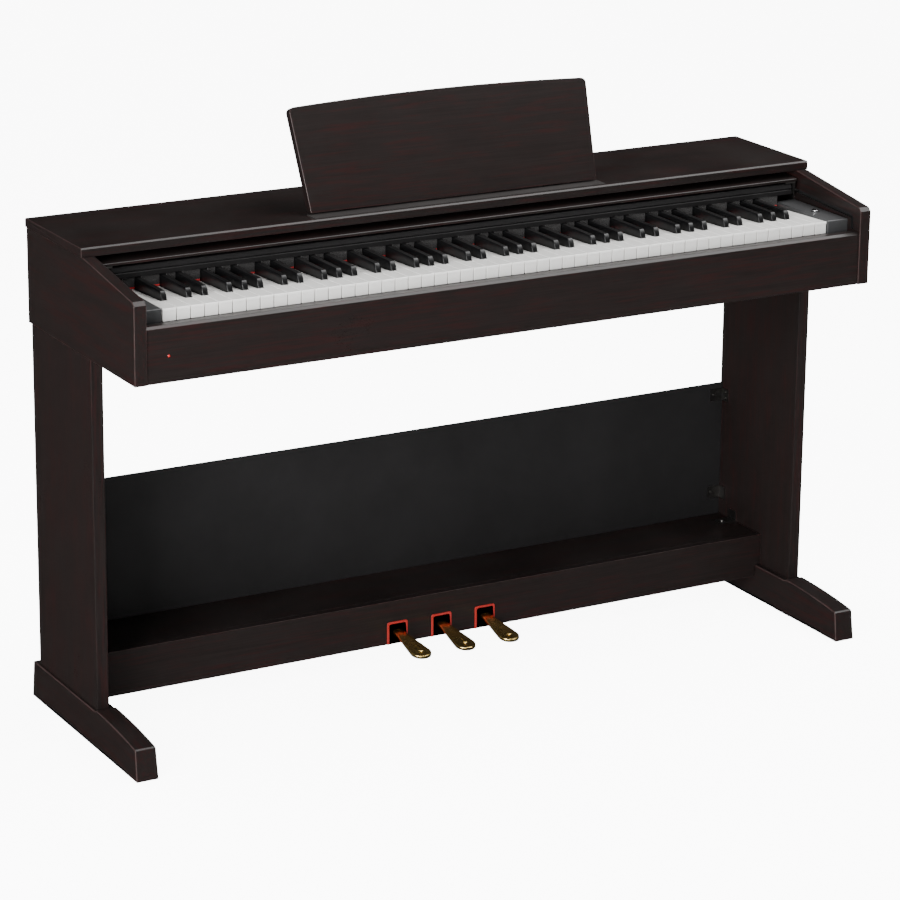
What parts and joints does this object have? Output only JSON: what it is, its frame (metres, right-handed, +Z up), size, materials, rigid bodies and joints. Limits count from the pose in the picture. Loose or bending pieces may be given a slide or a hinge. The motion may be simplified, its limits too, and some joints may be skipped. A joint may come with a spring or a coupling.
{
  "type": "digital piano on stand",
  "caption": "Upright-style digital piano: hinged keyboard in a slim wooden case with sliding cover, folding music rest and pedals, on a panel stand.",
  "frame": {"origin": "middle of the footprint on the floor", "axes": "+X to the player's right along the keyboard, +Y away from the player, +Z up"},
  "size_m": [1.362, 0.424, 0.9882],
  "materials": {
    "rosewood": "dark rosewood laminate, softly glossy",
    "black_board": "matt charcoal laminate",
    "black_satin": "satin black",
    "grey_plastic": "dark grey moulded",
    "black_plastic": "moulded black",
    "steel": "black painted steel",
    "chrome_button": "polished",
    "red_lens": "clear red",
    "red_felt": "wool felt",
    "red_plastic": "moulded red",
    "rubber": "ribbed grey rubber",
    "brass": "polished",
    "speaker_black": "paper cone and steel basket",
    "green_board": "circuit board",
    "white_key": "polished white",
    "black_key": "satin black"
  },
  "bodies": {
    "case": {"left_side_panel": "rosewood", "right_side_panel": "rosewood", "top_board": "rosewood", "rear_panel": "black_board", "key_bed": "black_board", "key_slip": "rosewood", "power_lamp": "red_lens", "fallboard": "black_satin", "left_end_block": "grey_plastic", "right_end_block": "grey_plastic", "keyboard_frame": "steel", "contact_strip": "rubber", "key_felt": "red_felt", "cover_rails": "steel", "rest_base": "rubber", "left_leg": "rosewood", "right_leg": "rosewood", "left_foot": "rosewood", "right_foot": "rosewood", "stand_back_board": "black_board", "corner_brackets": "steel", "pedal_rail": "rosewood", "pedal_box": "black_board", "pedal_bezels": "red_plastic", "pedal_frame": "steel", "speakers": "speaker_black", "speaker_grilles": "black_plastic", "circuit_boards": "green_board", "jack_panel": "black_plastic", "headphone_box": "black_satin", "screws": "steel"},
    "key_c4": {"key_c4": "white_key"},
    "key_d4": {"key_d4": "white_key"},
    "key_e4": {"key_e4": "white_key"},
    "key_f4": {"key_f4": "white_key"},
    "key_g4": {"key_g4": "white_key"},
    "key_a4": {"key_a4": "white_key"},
    "key_b4": {"key_b4": "white_key"},
    "key_c_sharp4": {"key_c_sharp4": "black_key"},
    "key_d_sharp4": {"key_d_sharp4": "black_key"},
    "key_f_sharp4": {"key_f_sharp4": "black_key"},
    "key_g_sharp4": {"key_g_sharp4": "black_key"},
    "key_a_sharp4": {"key_a_sharp4": "black_key"},
    "keys_low_naturals": {"keys_low_naturals": "white_key"},
    "keys_low_sharps": {"keys_low_sharps": "black_key"},
    "keys_high_naturals": {"keys_high_naturals": "white_key"},
    "keys_high_sharps": {"keys_high_sharps": "black_key"},
    "cover": {"key_cover": "rosewood", "cover_arms": "steel"},
    "shaft": {"cover_shaft": "steel"},
    "rest": {"music_rest": "rosewood", "rest_hinges": "steel"},
    "props": {"rest_supports": "steel"},
    "pedal_left": {"pedal_left": "brass"},
    "pedal_middle": {"pedal_middle": "brass"},
    "pedal_right": {"pedal_right": "brass"},
    "power_button": {"power_button": "chrome_button"},
    "voice_button": {"voice_button": "grey_plastic"},
    "volume_slider": {"volume_slider": "grey_plastic"}
  },
  "joints": [
    {"name": "key_c4_press", "type": "hinge", "parent": "case", "child": "key_c4", "pos_m": [0, 0.032, 0.735], "axis": [1, 0, 0], "range_deg": [0, 2.75], "stiffness_Nm_per_rad": 0.7, "springref_deg": -11.46},
    {"name": "key_d4_press", "type": "hinge", "parent": "case", "child": "key_d4", "pos_m": [0, 0.032, 0.735], "axis": [1, 0, 0], "range_deg": [0, 2.75], "stiffness_Nm_per_rad": 0.7, "springref_deg": -11.46},
    {"name": "key_e4_press", "type": "hinge", "parent": "case", "child": "key_e4", "pos_m": [0, 0.032, 0.735], "axis": [1, 0, 0], "range_deg": [0, 2.75], "stiffness_Nm_per_rad": 0.7, "springref_deg": -11.46},
    {"name": "key_f4_press", "type": "hinge", "parent": "case", "child": "key_f4", "pos_m": [0, 0.032, 0.735], "axis": [1, 0, 0], "range_deg": [0, 2.75], "stiffness_Nm_per_rad": 0.7, "springref_deg": -11.46},
    {"name": "key_g4_press", "type": "hinge", "parent": "case", "child": "key_g4", "pos_m": [0, 0.032, 0.735], "axis": [1, 0, 0], "range_deg": [0, 2.75], "stiffness_Nm_per_rad": 0.7, "springref_deg": -11.46},
    {"name": "key_a4_press", "type": "hinge", "parent": "case", "child": "key_a4", "pos_m": [0, 0.032, 0.735], "axis": [1, 0, 0], "range_deg": [0, 2.75], "stiffness_Nm_per_rad": 0.7, "springref_deg": -11.46},
    {"name": "key_b4_press", "type": "hinge", "parent": "case", "child": "key_b4", "pos_m": [0, 0.032, 0.735], "axis": [1, 0, 0], "range_deg": [0, 2.75], "stiffness_Nm_per_rad": 0.7, "springref_deg": -11.46},
    {"name": "key_c_sharp4_press", "type": "hinge", "parent": "case", "child": "key_c_sharp4", "pos_m": [0, 0.032, 0.735], "axis": [1, 0, 0], "range_deg": [0, 3.2], "stiffness_Nm_per_rad": 0.7, "springref_deg": -11.46},
    {"name": "key_d_sharp4_press", "type": "hinge", "parent": "case", "child": "key_d_sharp4", "pos_m": [0, 0.032, 0.735], "axis": [1, 0, 0], "range_deg": [0, 3.2], "stiffness_Nm_per_rad": 0.7, "springref_deg": -11.46},
    {"name": "key_f_sharp4_press", "type": "hinge", "parent": "case", "child": "key_f_sharp4", "pos_m": [0, 0.032, 0.735], "axis": [1, 0, 0], "range_deg": [0, 3.2], "stiffness_Nm_per_rad": 0.7, "springref_deg": -11.46},
    {"name": "key_g_sharp4_press", "type": "hinge", "parent": "case", "child": "key_g_sharp4", "pos_m": [0, 0.032, 0.735], "axis": [1, 0, 0], "range_deg": [0, 3.2], "stiffness_Nm_per_rad": 0.7, "springref_deg": -11.46},
    {"name": "key_a_sharp4_press", "type": "hinge", "parent": "case", "child": "key_a_sharp4", "pos_m": [0, 0.032, 0.735], "axis": [1, 0, 0], "range_deg": [0, 3.2], "stiffness_Nm_per_rad": 0.7, "springref_deg": -11.46},
    {"name": "keys_low_naturals_press", "type": "hinge", "parent": "case", "child": "keys_low_naturals", "pos_m": [0, 0.032, 0.735], "axis": [1, 0, 0], "range_deg": [0, 2.75], "stiffness_Nm_per_rad": 16.1, "springref_deg": -11.46},
    {"name": "keys_low_sharps_press", "type": "hinge", "parent": "case", "child": "keys_low_sharps", "pos_m": [0, 0.032, 0.735], "axis": [1, 0, 0], "range_deg": [0, 3.2], "stiffness_Nm_per_rad": 11.2, "springref_deg": -11.46},
    {"name": "keys_high_naturals_press", "type": "hinge", "parent": "case", "child": "keys_high_naturals", "pos_m": [0, 0.032, 0.735], "axis": [1, 0, 0], "range_deg": [0, 2.75], "stiffness_Nm_per_rad": 15.4, "springref_deg": -11.46},
    {"name": "keys_high_sharps_press", "type": "hinge", "parent": "case", "child": "keys_high_sharps", "pos_m": [0, 0.032, 0.735], "axis": [1, 0, 0], "range_deg": [0, 3.2], "stiffness_Nm_per_rad": 10.5, "springref_deg": -11.46},
    {"name": "cover_slide", "type": "slide", "parent": "case", "child": "cover", "axis": [0, -0.9981, -0.061], "range_m": [0, 0.162]},
    {"name": "shaft_spin", "type": "hinge", "parent": "cover", "child": "shaft", "pos_m": [0, 0.154, 0.78609], "axis": [1, 0, 0], "range_deg": [0, 1240]},
    {"name": "rest_fold", "type": "hinge", "parent": "case", "child": "rest", "pos_m": [0, 0.025, 0.8184], "axis": [-1, 0, 0], "range_deg": [0, 70]},
    {"name": "props_fold", "type": "hinge", "parent": "rest", "child": "props", "pos_m": [0, 0.05236, 0.89358], "axis": [1, 0, 0], "range_deg": [0, 140]},
    {"name": "pedal_left_press", "type": "hinge", "parent": "case", "child": "pedal_left", "pos_m": [0, 0.137, 0.076], "axis": [1, 0, 0], "range_deg": [0, 6], "stiffness_Nm_per_rad": 8, "springref_deg": -6.88},
    {"name": "pedal_middle_press", "type": "hinge", "parent": "case", "child": "pedal_middle", "pos_m": [0, 0.137, 0.076], "axis": [1, 0, 0], "range_deg": [0, 6], "stiffness_Nm_per_rad": 8, "springref_deg": -6.88},
    {"name": "pedal_right_press", "type": "hinge", "parent": "case", "child": "pedal_right", "pos_m": [0, 0.137, 0.076], "axis": [1, 0, 0], "range_deg": [0, 6], "stiffness_Nm_per_rad": 8, "springref_deg": -6.88},
    {"name": "power_press", "type": "slide", "parent": "case", "child": "power_button", "axis": [0, 0, -1], "range_m": [0, 0.002], "stiffness_N_per_m": 800, "springref_m": -0.001},
    {"name": "voice_press", "type": "slide", "parent": "case", "child": "voice_button", "axis": [0, 0, -1], "range_m": [0, 0.002], "stiffness_N_per_m": 800, "springref_m": -0.001},
    {"name": "volume_slide", "type": "slide", "parent": "case", "child": "volume_slider", "axis": [0, -1, 0], "range_m": [0, 0.03]}
  ],
  "couplings": [
    {"joint": "shaft_spin", "follows": "cover_slide", "rad_per_m": 133.33},
    {"joint": "props_fold", "follows": "rest_fold", "ratio": 2}
  ]
}
